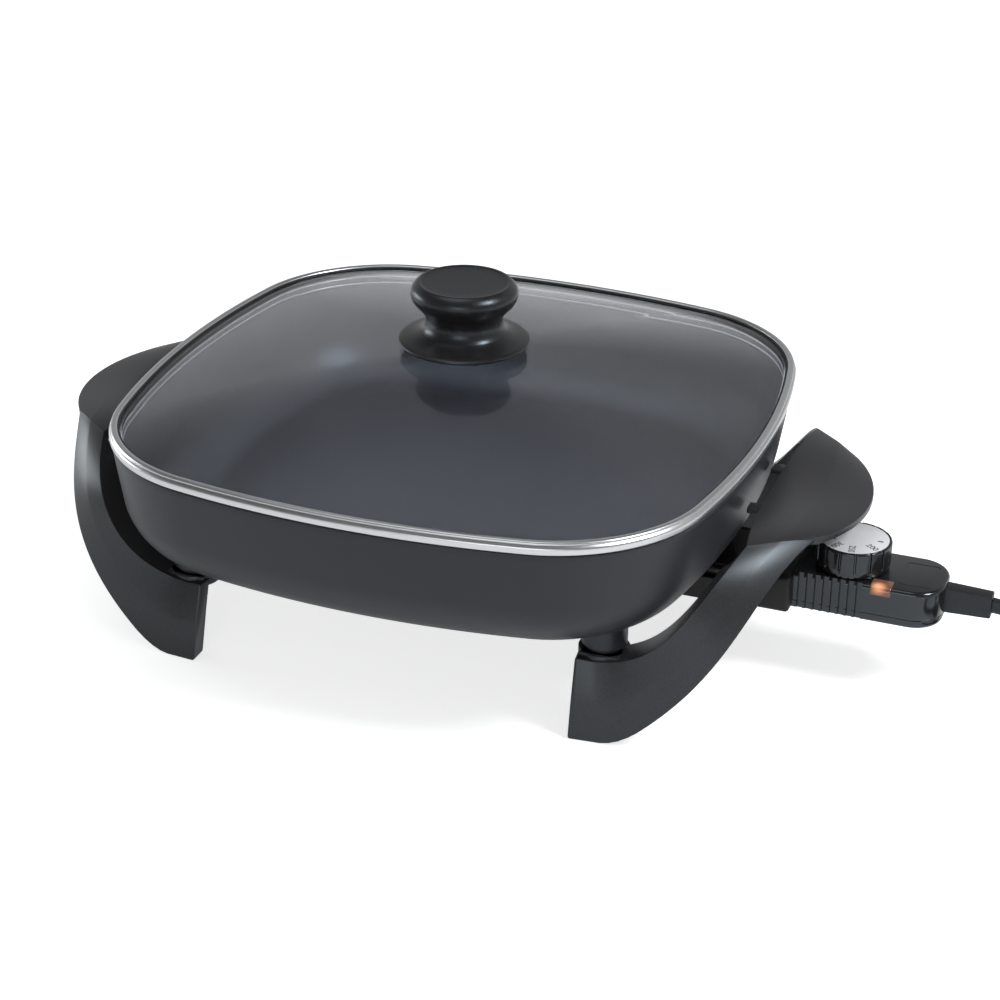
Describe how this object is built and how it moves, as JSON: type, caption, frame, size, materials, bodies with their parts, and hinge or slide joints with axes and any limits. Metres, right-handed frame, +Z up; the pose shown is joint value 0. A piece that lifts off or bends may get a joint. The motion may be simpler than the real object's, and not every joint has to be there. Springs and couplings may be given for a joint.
{
  "type": "electric_skillet",
  "caption": "Square electric skillet: cast non-stick pan on moulded leg handles, domed glass lid with a steel band and knob, and a plug-in heat control with a dial and a cord.",
  "frame": {"origin": "middle of the footprint with the heat control plugged in, at the height of the table under the feet", "axes": "+Z up, +X towards the heat control, +Y away from the user"},
  "size_m": [0.6231, 0.318, 0.1754],
  "materials": {
    "nonstick": "dark grey non-stick coating with a fine metallic fleck",
    "element_steel": "oxidised heating tube",
    "pin_steel": "plain nickelled steel",
    "ceramic": "unglazed steatite",
    "guard_paint": "black heat-proof paint",
    "screw_steel": "zinc plated",
    "handle_plastic": "charcoal phenolic, satin",
    "spacer_board": "dark pressed heat-break board",
    "lid_glass": "clear tempered glass",
    "band_steel": "polished stainless steel",
    "seal_rubber": "black silicone",
    "knob_gloss": "glossy black phenolic",
    "knob_matte": "matte black disc",
    "brass": "plain brass",
    "control_gloss": "glossy black phenolic",
    "nose_matte": "matte black phenolic",
    "wire_sleeving": "white sleeving",
    "neon": "small neon bulb",
    "lens_amber": "amber window",
    "cord_rubber": "black flexible cord",
    "dial_white": "white face with plain grey numbers"
  },
  "bodies": {
    "base": {"pan": "nonstick", "heating_element": "element_steel", "terminal_pins": "pin_steel", "pin_insulators": "ceramic", "sensor_well": "pin_steel", "terminal_guard": "guard_paint", "guard_screws": "screw_steel", "left_handle": "handle_plastic", "right_handle": "handle_plastic", "handle_spacers": "spacer_board", "handle_washers": "screw_steel", "handle_screws": "screw_steel"},
    "lid": {"lid_glass": "lid_glass", "lid_rim": "band_steel", "knob_gasket": "seal_rubber", "knob_skirt": "knob_gloss", "knob_grip": "knob_gloss", "knob_cap": "knob_matte", "knob_insert": "brass", "knob_washer": "screw_steel", "knob_screw": "screw_steel"},
    "control": {"control_upper_housing": "control_gloss", "control_lower_housing": "control_gloss", "control_nose": "nose_matte", "sensor_rod": "pin_steel", "contact_sleeves": "pin_steel", "thermostat_block": "ceramic", "contact_blades": "brass", "lead_wires": "wire_sleeving", "neon_lamp": "neon", "indicator_lens": "lens_amber", "housing_screws": "screw_steel", "strain_relief": "cord_rubber", "cord": "cord_rubber", "cord_coil": "cord_rubber", "cord_tail": "cord_rubber", "plug": "cord_rubber", "plug_blades": "brass"},
    "dial": {"dial_knob": "control_gloss", "dial_face": "dial_white", "dial_shaft": "screw_steel"}
  },
  "joints": [
    {"name": "lid_lift", "type": "slide", "parent": "base", "child": "lid", "axis": [0, 0, 1], "range_m": [0, 0.15]},
    {"name": "control_pull", "type": "slide", "parent": "base", "child": "control", "axis": [1, 0, 0], "range_m": [0, 0.1]},
    {"name": "dial_turn", "type": "hinge", "parent": "control", "child": "dial", "pos_m": [0.1845, 0, 0.06], "axis": [0, 0, 1], "range_deg": [0, 300]}
  ]
}
